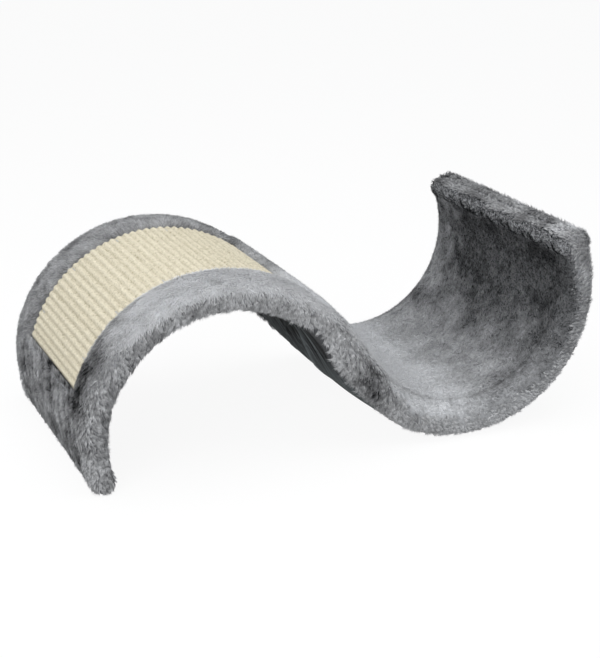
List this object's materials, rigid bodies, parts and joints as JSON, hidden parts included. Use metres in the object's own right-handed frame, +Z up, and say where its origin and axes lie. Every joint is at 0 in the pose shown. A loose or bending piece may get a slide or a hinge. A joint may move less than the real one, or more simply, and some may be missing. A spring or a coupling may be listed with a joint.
{
  "type": "cat scratcher",
  "caption": "Wave-shaped cat scratcher: a bent board covered in grey plush, with a ribbed sisal scratching mat over the arch and a soft cradle to lie in.",
  "frame": {"origin": "on the floor, under the middle of the object's box", "axes": "+X from the arch to the cradle, +Y to the far side, +Z up"},
  "size_m": [0.498, 0.292, 0.1857],
  "materials": {
    "plush": "long soft grey plush pile",
    "short_plush": "short dense grey plush nap",
    "lining": "flat brushed dark grey cloth",
    "sisal": "ribbed natural sisal weave, cream",
    "plywood": "raw bent plywood",
    "staple_steel": "bright galvanised wire"
  },
  "bodies": {
    "root": {"wave_board": "plywood", "sisal_mat": "sisal", "leg_panel": "plush", "arch_border_near": "plush", "arch_border_far": "plush", "cradle_panel": "short_plush", "near_edge_band": "plush", "far_edge_band": "plush", "foot_band": "plush", "rim_band": "plush", "arch_lining": "lining", "cradle_lining": "lining", "sisal_staple_near_1": "staple_steel", "sisal_staple_near_2": "staple_steel", "sisal_staple_near_3": "staple_steel", "sisal_staple_near_4": "staple_steel", "sisal_staple_near_5": "staple_steel", "sisal_staple_far_1": "staple_steel", "sisal_staple_far_2": "staple_steel", "sisal_staple_far_3": "staple_steel", "sisal_staple_far_4": "staple_steel", "sisal_staple_far_5": "staple_steel"}
  },
  "joints": []
}
